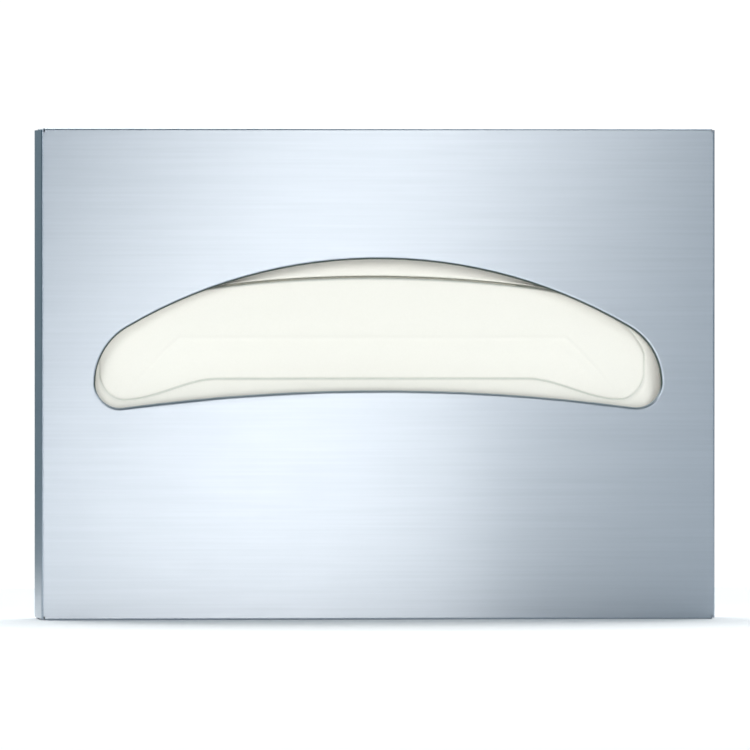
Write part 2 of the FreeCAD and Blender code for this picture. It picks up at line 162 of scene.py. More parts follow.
@dataclass(frozen=True)
class BrushedStainless:
    """Type 304 stainless sheet with a satin number 4 finish, belt-ground along its width.

    The grit leaves fine parallel lines, so a light shows as a band drawn out across the grain and
    stays narrow along it. That gives the face its soft upright glow.
    """

    name: str = "brushed_stainless_no4"
    colour: str = "#b1bac5"
    streak_colour: str = "#adb6c1"
    # The rolled lip's underside gets painted shade: this dark colour is laid where the lip turns down and in
    lip_painted_shade_colour: str = "#5b6662"
    # The lip's normal: its Z from no painted shade to the fully shaded underside, and its Y from the face to
    # well turned in
    underside: tuple[float, float] = (0.35, 0.05)
    turned_in: tuple[float, float] = (-0.95, -0.8)
    roughness: float = 0.30
    roughness_swing: float = 0.02
    anisotropy: float = 0.85
    # A grit line is about 0.1 mm across. It is drawn at 0.45 mm, because finer doesn't show.
    line_width: float = 0.45
    line_length: float = 28.0
    streak_width: float = 1.6
    streak_length: float = 90.0
    line_depth: float = 0.0006
    # A wall lies flat where its normal's Z is larger than this
    flat_wall: float = 0.7

    def make(self) -> bpy.types.Material:
        """Builds the material.

        Returns:
            The brushed metal.
        """
        material = bpy.data.materials.new(self.name)
        material.use_nodes = True
        tree = material.node_tree
        tree.nodes.clear()
        place = add_node(tree, "ShaderNodeTexCoord").outputs["Object"]
        facing = add_node(tree, "ShaderNodeNewGeometry").outputs["Normal"]
        grain = self._grain_place(tree, place, facing)
        lines = self._noise(tree, grain, self.line_width, self.line_length)
        streaks = self._noise(tree, grain, self.streak_width, self.streak_length)
        tint = add_node(tree, "ShaderNodeMapRange", {
            "Value": streaks, "From Min": NOISE_LOW, "From Max": NOISE_HIGH, "To Min": 0.0, "To Max": 1.0})
        colour = add_node(tree, "ShaderNodeMix", {
            "Factor": tint.outputs["Result"], 6: linear(self.colour), 7: linear(self.streak_colour)},
            data_type="RGBA")
        # Painted shade: the lip's underside is darkened, more where its normal turns down and inward
        lip = add_node(tree, "ShaderNodeAttribute", attribute_name=FoldedSheets.LIP)
        turn = add_node(tree, "ShaderNodeSeparateXYZ", {"Vector": facing}).outputs
        under = add_node(tree, "ShaderNodeMapRange", {
            "Value": turn["Z"], "From Min": self.underside[0], "From Max": self.underside[1],
            "To Min": 0.0, "To Max": 1.0})
        inward = add_node(tree, "ShaderNodeMapRange", {
            "Value": turn["Y"], "From Min": self.turned_in[0], "From Max": self.turned_in[1],
            "To Min": 0.0, "To Max": 1.0})
        rolled = add_node(tree, "ShaderNodeMath", {
            0: lip.outputs["Fac"], 1: inward.outputs["Result"]}, operation="MULTIPLY")
        painted_lip_shade = add_node(tree, "ShaderNodeMath", {
            0: rolled.outputs[0], 1: under.outputs["Result"]}, operation="MULTIPLY")
        # Mixes the painted shade into the steel's colour on the lip's underside
        body = add_node(tree, "ShaderNodeMix", {
            "Factor": painted_lip_shade.outputs[0], 6: colour.outputs[2], 7: linear(self.lip_painted_shade_colour)},
            data_type="RGBA")
        rough = add_node(tree, "ShaderNodeMapRange", {
            "Value": lines, "From Min": NOISE_LOW, "From Max": NOISE_HIGH,
            "To Min": self.roughness - self.roughness_swing,
            "To Max": self.roughness + self.roughness_swing})
        bump = add_node(tree, "ShaderNodeBump", {
            "Strength": 0.5, "Distance": self.line_depth * MM, "Height": lines})
        shader = add_node(tree, "ShaderNodeBsdfPrincipled", {
            "Base Color": body.outputs[2], "Metallic": 1.0,
            "Roughness": rough.outputs["Result"], "Anisotropic": self.anisotropy,
            "Normal": bump.outputs["Normal"], "Tangent": self._across_grain(tree, facing)})
        add_node(tree, "ShaderNodeOutputMaterial", {"Surface": shader.outputs["BSDF"]})
        return material

    def _grain_place(
        self, tree: bpy.types.NodeTree, place: bpy.types.NodeSocket, facing: bpy.types.NodeSocket
    ) -> bpy.types.NodeSocket:
        """Turns a place on the sheet into one that is read across the grain along Z.

        Args:
            tree: The material's tree.
            place: The place on the object.
            facing: The surface's normal.

        Returns:
            The place, with Y and Z exchanged on the walls that lie flat.
        """
        parts = add_node(tree, "ShaderNodeSeparateXYZ", {"Vector": place}).outputs
        upright = add_node(tree, "ShaderNodeSeparateXYZ", {"Vector": facing}).outputs["Z"]
        size = add_node(tree, "ShaderNodeMath", {0: upright}, operation="ABSOLUTE")
        flat = add_node(tree, "ShaderNodeMath", {
            0: size.outputs[0], 1: self.flat_wall}, operation="GREATER_THAN")
        turned = add_node(tree, "ShaderNodeCombineXYZ", {"X": parts["X"], "Y": parts["Z"], "Z": parts["Y"]})
        mixed = add_node(tree, "ShaderNodeMix", {
            "Factor": flat.outputs[0], 4: place, 5: turned.outputs[0]}, data_type="VECTOR")
        return mixed.outputs[1]

    def _noise(
        self, tree: bpy.types.NodeTree, grain: bpy.types.NodeSocket, width: float, length: float
    ) -> bpy.types.NodeSocket:
        """Adds noise drawn out along the grain.

        Args:
            tree: The material's tree.
            grain: The place from `_grain_place`.
            width: Size of the pattern across the grain, in millimetres.
            length: Its size along the grain, in millimetres.

        Returns:
            The noise, from 0 to 1.
        """
        along, across = 1 / (length * MM), 1 / (width * MM)
        scaled = add_node(tree, "ShaderNodeVectorMath", {
            0: grain, 1: (along, along, across)}, operation="MULTIPLY")
        pattern = add_node(tree, "ShaderNodeTexNoise", {
            "Vector": scaled.outputs[0], "Scale": 1.0, "Detail": 1.0, "Roughness": 0.6})
        return pattern.outputs["Fac"]

    def _across_grain(
        self, tree: bpy.types.NodeTree, facing: bpy.types.NodeSocket
    ) -> bpy.types.NodeSocket:
        """Gives the direction in the surface that crosses the grain.

        Args:
            tree: The material's tree.
            facing: The surface's normal.

        Returns:
            The direction, upright on the face and the side walls, and level on the flat walls.
        """
        # It leans a little forward, so that something of it is left on a flat wall
        upright = (0.0, -0.02, 1.0)
        onto = add_node(tree, "ShaderNodeVectorMath", {0: upright, 1: facing}, operation="PROJECT")
        across = add_node(tree, "ShaderNodeVectorMath", {
            0: upright, 1: onto.outputs[0]}, operation="SUBTRACT")
        unit = add_node(tree, "ShaderNodeVectorMath", {0: across.outputs[0]}, operation="NORMALIZE")
        return unit.outputs[0]


@dataclass(frozen=True)
class MillStainless:
    """Cold-rolled stainless sheet as it leaves the mill, a 2B finish.

    It isn't ground, so it has no grain. It is duller and greyer than the face, with faint clouds.
    """

    name: str = "mill_stainless_2b"
    colour: str = "#bfc3c6"
    cloud_colour: str = "#b1b6ba"
    roughness: float = 0.36
    roughness_swing: float = 0.05
    cloud_size: float = 45.0
    pit_size: float = 0.7
    pit_depth: float = 0.005

    def make(self) -> bpy.types.Material:
        """Builds the material.

        Returns:
            The mill-finished metal.
        """
        material = bpy.data.materials.new(self.name)
        material.use_nodes = True
        tree = material.node_tree
        tree.nodes.clear()
        place = add_node(tree, "ShaderNodeTexCoord").outputs["Object"]
        clouds = add_node(tree, "ShaderNodeTexNoise", {
            "Vector": place, "Scale": 1 / (self.cloud_size * MM), "Detail": 3.0})
        pits = add_node(tree, "ShaderNodeTexNoise", {
            "Vector": place, "Scale": 1 / (self.pit_size * MM), "Detail": 2.0})
        colour = add_node(tree, "ShaderNodeMix", {
            "Factor": clouds.outputs["Fac"], 6: linear(self.colour), 7: linear(self.cloud_colour)},
            data_type="RGBA")
        rough = add_node(tree, "ShaderNodeMapRange", {
            "Value": clouds.outputs["Fac"], "From Min": NOISE_LOW, "From Max": NOISE_HIGH,
            "To Min": self.roughness - self.roughness_swing,
            "To Max": self.roughness + self.roughness_swing})
        bump = add_node(tree, "ShaderNodeBump", {
            "Strength": 0.3, "Distance": self.pit_depth * MM, "Height": pits.outputs["Fac"]})
        shader = add_node(tree, "ShaderNodeBsdfPrincipled", {
            "Base Color": colour.outputs[2], "Metallic": 1.0,
            "Roughness": rough.outputs["Result"], "Normal": bump.outputs["Normal"]})
        add_node(tree, "ShaderNodeOutputMaterial", {"Surface": shader.outputs["BSDF"]})
        return material


@dataclass(frozen=True)
class TissuePaper:
    """Thin bleached tissue, machine-finished and folded by machine.

    It is matt and a little warm, with a fine felt of fibres and faint soft cockles. The little light that
    comes through real tissue is left out.
    """

    # Attribute that paints shade into the paper's colour, along the cut and in the gap behind the leaf's top
    # edge
    PAINTED_SHADE = "painted_cut_and_gap_shade"

    name: str
    colour: str = "#fbf9f1"
    fibre_colour: str = "#f4f2e9"
    # The grey of the painted shade, and how much of it is laid on
    paper_shade_colour: str = "#7d8d86"
    paper_shade_strength: float = 0.45
    roughness: float = 0.92
    # Fibres are hairs of about 0.03 mm. They are drawn at 0.9 mm, because finer doesn't show.
    fibre_size: float = 0.9
    fibre_depth: float = 0.02
    cockle_size: float = 16.0
    cockle_depth: float = 0.05

    def make(self) -> bpy.types.Material:
        """Builds the material.

        Returns:
            The paper.
        """
        material = bpy.data.materials.new(self.name)
        material.use_nodes = True
        tree = material.node_tree
        tree.nodes.clear()
        place = add_node(tree, "ShaderNodeTexCoord").outputs["Object"]
        fibres = add_node(tree, "ShaderNodeTexNoise", {
            "Vector": place, "Scale": 1 / (self.fibre_size * MM), "Detail": 4.0, "Roughness": 0.65})
        cockles = add_node(tree, "ShaderNodeTexNoise", {
            "Vector": place, "Scale": 1 / (self.cockle_size * MM), "Detail": 1.0})
        colour = add_node(tree, "ShaderNodeMix", {
            "Factor": fibres.outputs["Fac"], 6: linear(self.colour), 7: linear(self.fibre_colour)},
            data_type="RGBA")
        # Painted shade: the paper turns grey where the attribute is set
        shade_mask = add_node(tree, "ShaderNodeAttribute", attribute_name=self.PAINTED_SHADE)
        strength = add_node(tree, "ShaderNodeMath", {
            0: shade_mask.outputs["Fac"], 1: self.paper_shade_strength}, operation="MULTIPLY")
        shaded_colour = add_node(tree, "ShaderNodeMix", {
            "Factor": strength.outputs[0], 6: colour.outputs[2], 7: linear(self.paper_shade_colour)},
            data_type="RGBA")
        soft = add_node(tree, "ShaderNodeBump", {
            "Strength": 1.0, "Distance": self.cockle_depth * MM, "Height": cockles.outputs["Fac"]})
        bump = add_node(tree, "ShaderNodeBump", {
            "Strength": 0.15, "Distance": self.fibre_depth * MM, "Height": fibres.outputs["Fac"],
            "Normal": soft.outputs["Normal"]})
        shader = add_node(tree, "ShaderNodeBsdfPrincipled", {
            "Base Color": shaded_colour.outputs[2], "Roughness": self.roughness,
            "Specular IOR Level": 0.25, "Normal": bump.outputs["Normal"]})
        add_node(tree, "ShaderNodeOutputMaterial", {"Surface": shader.outputs["BSDF"]})
        return material


@dataclass(frozen=True)
class StudioPaper:
    """The white paper on the studio table, which is not part of the dispenser."""

    name: str = "seamless_studio_paper"
    colour: str = "#fbfbfb"
    shade_colour: str = "#f8f9fa"
    cloud_size: float = 400.0

    def make(self) -> bpy.types.Material:
        """Builds the material.

        Returns:
            The table's paper.
        """
        material = bpy.data.materials.new(self.name)
        material.use_nodes = True
        tree = material.node_tree
        tree.nodes.clear()
        place = add_node(tree, "ShaderNodeTexCoord").outputs["Object"]
        clouds = add_node(tree, "ShaderNodeTexNoise", {
            "Vector": place, "Scale": 1 / (self.cloud_size * MM), "Detail": 2.0})
        colour = add_node(tree, "ShaderNodeMix", {
            "Factor": clouds.outputs["Fac"], 6: linear(self.colour), 7: linear(self.shade_colour)},
            data_type="RGBA")
        shader = add_node(tree, "ShaderNodeBsdfPrincipled", {
            "Base Color": colour.outputs[2], "Roughness": 0.95, "Specular IOR Level": 0.0})
        add_node(tree, "ShaderNodeOutputMaterial", {"Surface": shader.outputs["BSDF"]})
        return material


# The folded sheets


@dataclass
class FoldedSheets:
    """The front shell and the back plate, both folded from sheet."""

    # Attribute on the lip's points, where the steel paints shade on the lip's underside
    LIP = "rolled_lip"

    # Distances are in millimetres and angles in degrees
    join_distance: float = 0.01
    flat_angle: float = 0.4
    sharp_angle: float = 30.0
    # Box round the lip behind the face's front plane, in millimetres
    lip_box: tuple[tuple[float, float], ...] = ((-172.0, 172.0), (-56.7, -52.5), (-25.0, 72.0))

    def dress(self, node: bpy.types.Object, name: str, finish: bpy.types.Material) -> bpy.types.Object:
        """Makes a skin of a CAD node whose bends and rolled lip shade smoothly.

        Args:
            node: The CAD node's object.
            name: The new piece's name.
            finish: Its material.

        Returns:
            The new piece.
        """
        mesh = bpy.data.meshes.new(name)
        skin = bmesh.new()
        skin.from_mesh(node.data)
        bmesh.ops.remove_doubles(skin, verts=skin.verts, dist=self.join_distance * MM)
        bmesh.ops.dissolve_limit(
            skin, angle_limit=math.radians(self.flat_angle), verts=skin.verts, edges=skin.edges)
        sharp = math.radians(self.sharp_angle)
        for edge in skin.edges:
            edge.smooth = len(edge.link_faces) == 2 and edge.calc_face_angle() < sharp
        for face in skin.faces:
            face.smooth = True
        skin.to_mesh(mesh)
        skin.free()
        places = np.array([vertex.co[:] for vertex in mesh.vertices]) / MM
        lows, highs = np.array(self.lip_box).T
        inside = np.logical_and(places > lows, places < highs).all(axis=1)
        # The lip's points get the attribute that places the painted shade
        mesh.attributes.new(self.LIP, "FLOAT", "POINT").data.foreach_set("value", inside.astype(float))
        piece = link_mesh(name, mesh, finish)
        even = piece.modifiers.new("even_shading", "WEIGHTED_NORMAL")
        even.mode = "FACE_AREA"
        even.weight = 100
        even.keep_sharp = True
        bake_modifiers(piece)
        report(piece)
        return piece


# The paper


@dataclass
class Opening:
    """The curved opening in the face, which the front leaf's bulge follows."""

    half_width: float = 168.0
    top: float = 67.95
    arch_radius: float = 295.0
    shoulder_radius: float = 38.0
    corner_radius: float = 14.5
    sill_radius: float = 1143.0

    @property
    def shoulder_level(self) -> float:
        """Height of the shoulders' centres, where each runs smoothly into the arch."""
        reach = self.arch_radius - self.shoulder_radius
        across = self.half_width - self.shoulder_radius
        return self.top - self.arch_radius + math.sqrt(reach ** 2 - across ** 2)

    def sill(self, far: float) -> float:
        """Gives the height of the lower edge.

        Args:
            far: Distance from the middle.

        Returns:
            The sill's height there.
        """
        reach = self.sill_radius + self.corner_radius
        across = self.half_width - self.corner_radius
        centre = self.shoulder_level - math.sqrt(reach ** 2 - across ** 2)
        return centre + math.sqrt(self.sill_radius ** 2 - min(far, across) ** 2)

    def arch(self, far: float) -> float:
        """Gives the height of the upper edge.

        Args:
            far: Distance from the middle.

        Returns:
            The height of the arch there, or of the shoulder where it has taken over.
        """
        across = self.half_width - self.shoulder_radius
        joint = across * self.arch_radius / (self.arch_radius - self.shoulder_radius)
        if far < joint:
            return self.top - self.arch_radius + math.sqrt(self.arch_radius ** 2 - far ** 2)
        inside = min(far - across, self.shoulder_radius)
        return self.shoulder_level + math.sqrt(self.shoulder_radius ** 2 - inside ** 2)


@dataclass
class Bulge:
    """The pillow that the next cover's front leaf makes in the opening.

    Its insets are measured from the opening's ends. From the sill up, it has a strip that leans out
    to the lip, a crease, a belly, a ridge and a brow, and it ends in the leaf's top edge.
    """

    opening: Opening = field(default_factory=Opening)
    end_inset: float = 6.0
    lobe_inset: float = 21.0
    ridge_inset: float = 53.0
    crease_inset: float = 76.0
    height: float = 7.95
    top_below_arch: float = 11.2
    top_radius: float = 750.0
    ridge_below_arch: float = 46.8
    crease_above_sill: float = 6.9
    lobe_above_sill: float = 4.0
    end_above_shoulder: float = 8.5
    tuck: float = 22.0
    lobe_drop_share: float = 0.35
    arch_fall_share: float = 0.8
    end_round_share: float = 0.98

    @property
    def top(self) -> float:
        """Height of the leaf's top edge at its middle."""
        return self.opening.top - self.top_below_arch

    @property
    def reach(self) -> float:
        """Half the bulge's width."""
        return self.opening.half_width - self.end_inset

    @property
    def lobe(self) -> float:
        """Distance of a lobe from the middle."""
        return self.opening.half_width - self.lobe_inset

    @property
    def ridge_end(self) -> float:
        """Half the level ridge's length."""
        return self.opening.half_width - self.ridge_inset

    def levels(self, far: float) -> tuple[float, float, float]:
        """Gives the heights of the bulge's three lines.

        Args:
            far: Distance from the middle.

        Returns:
            Heights of its crease, its ridge and its top edge.
        """
        shape = self.opening
        end = shape.shoulder_level + self.end_above_shoulder
        roundness = math.sqrt(1 - (self.end_round_share * share_of(far, self.lobe, self.reach)) ** 2)
        fall = smooth(share_of(far, shape.half_width - self.crease_inset, self.lobe))
        middle = shape.sill(0) + self.crease_above_sill
        outer = shape.sill(self.lobe) + self.lobe_above_sill
        crease = between(end, between(middle, outer, fall), roundness)
        lobe_ridge = crease + self.height * self.lobe_drop_share
        ridge = between(
            shape.top - self.ridge_below_arch, lobe_ridge, share_of(far, self.ridge_end, self.lobe))
        arch = self.top - far ** 2 / (2 * self.top_radius)
        bend = self.end_round_share * share_of(far, self.ridge_end * self.arch_fall_share, self.reach)
        return crease, ridge, between(end, arch, math.sqrt(1 - bend ** 3))


@unique
class Line(Enum):
    """Lines across the front leaf, from its tuck upwards.

    Each has its rise as a share of the bulge's height, and the rows of mesh up to the next line.
    """

    TUCK = (0.0, 6)
    SILL = (0.84, 4)
    UNDER_CUT = (0.71, 3)
    CUT = (0.68, 3)
    OVER_CUT = (0.69, 4)
    FOOT = (0.77, 7)
    BELLY = (0.90, 5)
    UNDER_RIDGE = (0.955, 3)
    RIDGE = (1.0, 3)
    OVER_RIDGE = (0.96, 5)
    UPPER_BELLY = (0.91, 7)
    BROW = (0.80, 7)
    TOP_EDGE = (0.66, 3)
    GAP = (0.03, 3)
    GAP_TOP = (0.04, 4)
    NEXT_LEAF = (0.52, 5)
    UNDER_LIP = (0.30, 4)
    ABOVE_LIP = (0.0, 5)

    @property
    def share(self) -> float:
        """The line's rise as a share of the bulge's height."""
        return self.value[0]

    @property
    def rows(self) -> int:
        """Rows of mesh from this line to the next."""
        return self.value[1]


@dataclass
class NextCover:
    """The next half-folded cover: a back leaf, a fold on the ledge and the bulged front leaf.

    A curved cut in the front leaf, made for the seat, outlines its middle part, which stands a
    little prouder than the ring round it.
    """

    bulge: Bulge = field(default_factory=Bulge)
    half_width: float = 181.0
    bottom: float = -144.35
    height: float = 214.9
    corner_radius: float = 28.0
    front_plane: float = -44.45
    back_plane: float = -43.45
    paper: float = 0.12
    # The leaf has slid a little to the left in the opening
    slide: float = -3.3
    ring_share: float = 0.70
    ring_fade: float = 22.0
    cut_reach: float = 1.3
    ridge_reach: float = 1.8
    cut_depth: float = 0.8
    cut_half_width: float = 0.6
    # Share of the cut's groove and of its painted shade that is kept past the lobes
    end_cut_share: float = 0.6
    end_fade: float = 24.0
    # Strength of the painted shade in the gap behind the leaf's top edge
    gap_shade: float = 1.4
    gap_fade: tuple[float, float] = (80.0, 130.0)
    # Heights over the leaf's top edge: the gap, the gap's upper side, the leaf behind, and the line of
    # painted shade in the gap
    gap_rises: tuple[float, float, float] = (0.15, 0.6, 1.5)
    gap_shade_rise: float = 0.4
    below_sill: float = 1.0
    below_arch: float = 0.5
    above_arch: float = 8.0
    belly_shares: tuple[float, float] = (0.35, 0.65)
    brow_shares: tuple[float, float] = (0.35, 0.7)
    # The most that a narrow band takes of the belly, and of the strip between sill and cut
    band_share: float = 0.25
    strip_share: float = 0.4
    least_step: float = 0.01
    least_rise: float = 0.5
    back_rows: int = 7
    fold_rows: int = 6
    foot_rows: int = 6
    head_rows: int = 5
    cut_points: int = 700
    side_points: int = 60
    gap_points: int = 900

    def build(self, finish: bpy.types.Material) -> bpy.types.Object:
        """Builds the cover as one folded sheet.

        Args:
            finish: The paper.

        Returns:
            The finished piece.
        """
        grid = np.array([self._column(x) for x in self._places()])
        count, rows = grid.shape[:2]
        painted_shades = self._sink_cut_and_paint_shade(grid)
        index = np.arange(count * rows).reshape(count, rows)
        quads = np.stack(
            [index[:-1, :-1], index[1:, :-1], index[1:, 1:], index[:-1, 1:]], axis=-1).reshape(-1, 4)
        mesh = bpy.data.meshes.new("next_cover")
        mesh.from_pydata((grid.reshape(-1, 3) * MM).tolist(), [], quads.tolist())
        mesh.shade_smooth()
        # The painted shade along the cut and in the gap goes into the paper as an attribute
        shade_layer = mesh.attributes.new(TissuePaper.PAINTED_SHADE, "FLOAT", "POINT")
        shade_layer.data.foreach_set("value", painted_shades.ravel())
        piece = link_mesh("next_cover", mesh, finish)
        thick = piece.modifiers.new("paper", "SOLIDIFY")
        thick.thickness = self.paper * MM
        thick.offset = -1.0
        bake_modifiers(piece)
        report(piece)
        return piece

    def _places(self) -> list[float]:
        """Returns the columns' places, closer together where the cut turns round its ends."""
        # Each stretch's start, end and number of places
        stretches = ((0.0, 100.0, 68), (100.0, 146.0, 50), (146.0, 168.0, 52), (168.0, self.half_width, 9))
        right = [0.0]
        for start, end, count in stretches:
            right += list(np.linspace(start, end, count)[1:])
        return [-x for x in reversed(right)] + right[1:]

    def _sheet_top(self, far: float) -> float:
        """Gives the height of the back leaf's upper edge, with its rounded corners.

        Args:
            far: Distance from the middle.

        Returns:
            The edge's height there.
        """
        inside = max(far - self.half_width + self.corner_radius, 0.0)
        drop = self.corner_radius - math.sqrt(max(self.corner_radius ** 2 - inside ** 2, 0.0))
        return self.bottom + self.height - drop

    def _column(self, x: float) -> list[tuple[float, float, float]]:
        """Follows the sheet at one place: down the back leaf, round the fold and up the front.

        Args:
            x: Distance from the middle, with its sign.

        Returns:
            The points, in millimetres.
        """
        fold = abs(self.front_plane - self.back_plane) / 2
        middle = (self.front_plane + self.back_plane) / 2
        top = self._sheet_top(abs(x))
        points = [(x, self.back_plane, between(top, self.bottom + fold, share))
                  for share in np.linspace(0, 1, self.back_rows + 1)]
        for turn in np.linspace(0, math.pi, self.fold_rows + 1)[1:]:
            points.append((x, middle + fold * math.cos(turn), self.bottom + fold - fold * math.sin(turn)))
        levels, rises = self._lines(x)
        low = self.bottom + fold
        points += [(x, self.front_plane, between(low, levels[0], share))
                   for share in np.linspace(0, 1, self.foot_rows + 1)[1:-1]]
        points += self._curve(x, levels, rises)
        points += [(x, self.front_plane, between(levels[-1], top, share))
                   for share in np.linspace(0, 1, self.head_rows + 1)[1:]]
        return points

    def _lines(self, x: float) -> tuple[np.ndarray, np.ndarray]:
        """Gives the heights and rises of the front leaf's lines at one place.

        Args:
            x: Distance from the opening's middle, with its sign.

        Returns:
            The lines' heights, rising, and how far each stands out.
        """
        bulge, shape = self.bulge, self.bulge.opening
        far = abs(x - self.slide)
        cut, ridge, top = bulge.levels(min(far, bulge.reach))
        sill = shape.sill(abs(x)) - self.below_sill
        arch = shape.arch(abs(x))
        band = self.band_share * (ridge - cut)
        near_cut = min(self.cut_reach, band, self.strip_share * (cut - sill))
        near_ridge = min(self.ridge_reach, band)
        levels = {
            Line.TUCK: sill - bulge.tuck,
            Line.SILL: sill,
            Line.UNDER_CUT: cut - near_cut,
            Line.CUT: cut,
            Line.OVER_CUT: cut + near_cut,
            Line.FOOT: between(cut, ridge, self.belly_shares[0]),
            Line.BELLY: between(cut, ridge, self.belly_shares[1]),
            Line.UNDER_RIDGE: ridge - near_ridge,
            Line.RIDGE: ridge,
            Line.OVER_RIDGE: ridge + near_ridge,
            Line.UPPER_BELLY: between(ridge, top, self.brow_shares[0]),
            Line.BROW: between(ridge, top, self.brow_shares[1]),
            Line.TOP_EDGE: top,
            Line.GAP: top + self.gap_rises[0],
            Line.GAP_TOP: top + self.gap_rises[1],
            Line.NEXT_LEAF: top + self.gap_rises[2],
            Line.UNDER_LIP: arch - self.below_arch,
            Line.ABOVE_LIP: arch + self.above_arch,
        }
        panel = 1 - share_of(far, bulge.ridge_end, bulge.lobe)
        dome = 1 - smooth(share_of(far, bulge.ridge_end, bulge.reach))
        outside = 1 - smooth(share_of(far, bulge.reach, bulge.reach + self.ring_fade))
        closed = smooth(share_of(far, *self.gap_fade))
        swells = {line: panel for line in levels}
        swells[Line.UPPER_BELLY] = swells[Line.BROW] = dome
        rises = {line: between(self.ring_share, line.share, swells[line]) for line in levels}
        for line in (Line.TOP_EDGE, Line.GAP, Line.GAP_TOP, Line.NEXT_LEAF, Line.UNDER_LIP):
            rises[line] = between(line.share, self.ring_share, closed)
        rises[Line.SILL] = Line.SILL.share
        rises[Line.TUCK] = rises[Line.ABOVE_LIP] = 0.0
        ordered = list(Line)
        heights = np.array([levels[line] for line in ordered])
        heights = np.maximum.accumulate(heights + self.least_step * np.arange(len(ordered)))
        return heights, np.array([rises[line] for line in ordered]) * bulge.height * outside

    def _curve(self, x: float, levels: np.ndarray, rises: np.ndarray) -> list[tuple[float, float, float]]:
        """Draws a smooth line through a column's lines.

        Args:
            x: The column's place.
            levels: Heights of the lines.
            rises: How far each stands out.

        Returns:
            The points, in millimetres.
        """
        steps = np.diff(levels)
        slopes = np.diff(rises) / steps
        tangents = np.zeros(len(levels))
        for i in range(1, len(levels) - 1):
            if slopes[i - 1] * slopes[i] > 0:
                tangents[i] = 2 * slopes[i - 1] * slopes[i] / (slopes[i - 1] + slopes[i])
        points = []
        for i, line in enumerate(list(Line)[:-1]):
            for share in np.linspace(0, 1, line.rows + 1)[:-1]:
                square, cube = share ** 2, share ** 3
                rise = (
                    (2 * cube - 3 * square + 1) * rises[i]
                    + (cube - 2 * square + share) * steps[i] * tangents[i]
                    + (3 * square - 2 * cube) * rises[i + 1]
                    + (cube - square) * steps[i] * tangents[i + 1]
                )
                points.append((x, self.front_plane - rise, between(levels[i], levels[i + 1], share)))
        points.append((x, self.front_plane - rises[-1], levels[-1]))
        return points

    def _cut_line(self) -> np.ndarray:
        """Traces the cut: along the sill, round both lobes and a little way up the sides.

        Returns:
            Its points, as X and Z.
        """
        bulge = self.bulge
        far = bulge.reach * np.sin(np.linspace(0.0, math.pi / 2, self.cut_points))
        low = [(x, bulge.levels(x)[0]) for x in far]
        high = [(x, bulge.levels(x)[2]) for x in far if x > self.gap_fade[1]]
        side = [(bulge.reach, z) for z in np.linspace(low[-1][1], high[-1][1], self.side_points)]
        half = np.array(low + side + high[::-1])
        other = half * (-1, 1)
        return np.concatenate([half, other]) + (self.slide, 0.0)

    def _gap_line(self) -> np.ndarray:
        """Traces the line of painted shade in the gap behind the front leaf's top edge, as X and Z."""
        places = np.linspace(-self.gap_fade[1], self.gap_fade[1], self.gap_points)
        return np.array(
            [(x + self.slide, self.bulge.levels(abs(x))[2] + self.gap_shade_rise) for x in places])

    def _sink_cut_and_paint_shade(self, grid: np.ndarray) -> np.ndarray:
        """Sinks the front leaf along the cut, and paints shade along the cut and in the gap behind the
        leaf's top edge.

        Args:
            grid: The sheet's points by column and row, changed in place.

        Returns:
            How strongly each point gets painted shade from the cut or the gap, 0 where neither is near.
        """
        front = grid[..., 1] < self.front_plane - self.least_rise
        places = grid[front][:, (0, 2)]
        cut, gap = (self._closeness(places, line) for line in (self._cut_line(), self._gap_line()))
        past_lobe = np.abs(places[:, 0] - self.slide) - self.bulge.lobe
        fade = np.clip((past_lobe + self.end_fade / 2) / self.end_fade, 0.0, 1.0)
        cut *= 1 - (1 - self.end_cut_share) * fade
        sunk, painted_shades = np.zeros(grid.shape[:2]), np.zeros(grid.shape[:2])
        sunk[front] = cut
        # Painted shade: the cut is greyed on top of its real groove, and the gap behind the leaf's top edge
        # is greyed where there is only shade
        painted_shades[front] = np.maximum(cut, self.gap_shade * gap)
        grid[..., 1] += self.cut_depth * sunk
        return painted_shades

    def _closeness(self, places: np.ndarray, line: np.ndarray) -> np.ndarray:
        """Rates how close places are to a line.

        Args:
            places: The places, as X and Z.
            line: Close points along the line, as X and Z.

        Returns:
            For each place, 1 on the line, and less away from it.
        """
        gaps = np.full(len(places), np.inf)
        # The places are taken in blocks, which keeps the arrays small
        block = 4000
        for start in range(0, len(places), block):
            some = places[start:start + block, None, :] - line[None, :, :]
            gaps[start:start + block] = np.sqrt((some ** 2).sum(axis=-1)).min(axis=1)
        return np.exp(-((gaps / self.cut_half_width) ** 2))


